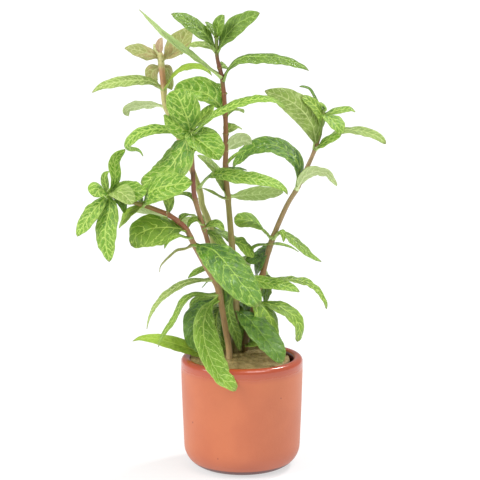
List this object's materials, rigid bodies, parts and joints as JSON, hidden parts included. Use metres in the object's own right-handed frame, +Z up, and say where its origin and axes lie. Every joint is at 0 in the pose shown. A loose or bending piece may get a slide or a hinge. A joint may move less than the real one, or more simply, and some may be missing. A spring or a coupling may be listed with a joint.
{
  "type": "potted hygrophila",
  "caption": "Aquarium plant with lance-shaped, net-veined leaves on leaning stems, rooted in mineral wool in a small round clay pot.",
  "frame": {"origin": "centre of the pot's flat underside", "axes": "+Z up along the pot's axis; the pictured side looks along -Y, with +X to the right"},
  "size_m": [0.1518, 0.0872, 0.2265],
  "materials": {
    "fired_clay": "satin fired clay with a darker, glossier lip",
    "mineral_wool": "matte wet fibre",
    "leaf": "soft sheen on living leaf, reddish brown stems"
  },
  "bodies": {
    "root": {"pot": "fired_clay", "plug": "mineral_wool", "stem_a": "leaf", "stem_b": "leaf", "stem_c": "leaf", "stem_d": "leaf", "stem_e": "leaf"}
  },
  "joints": []
}
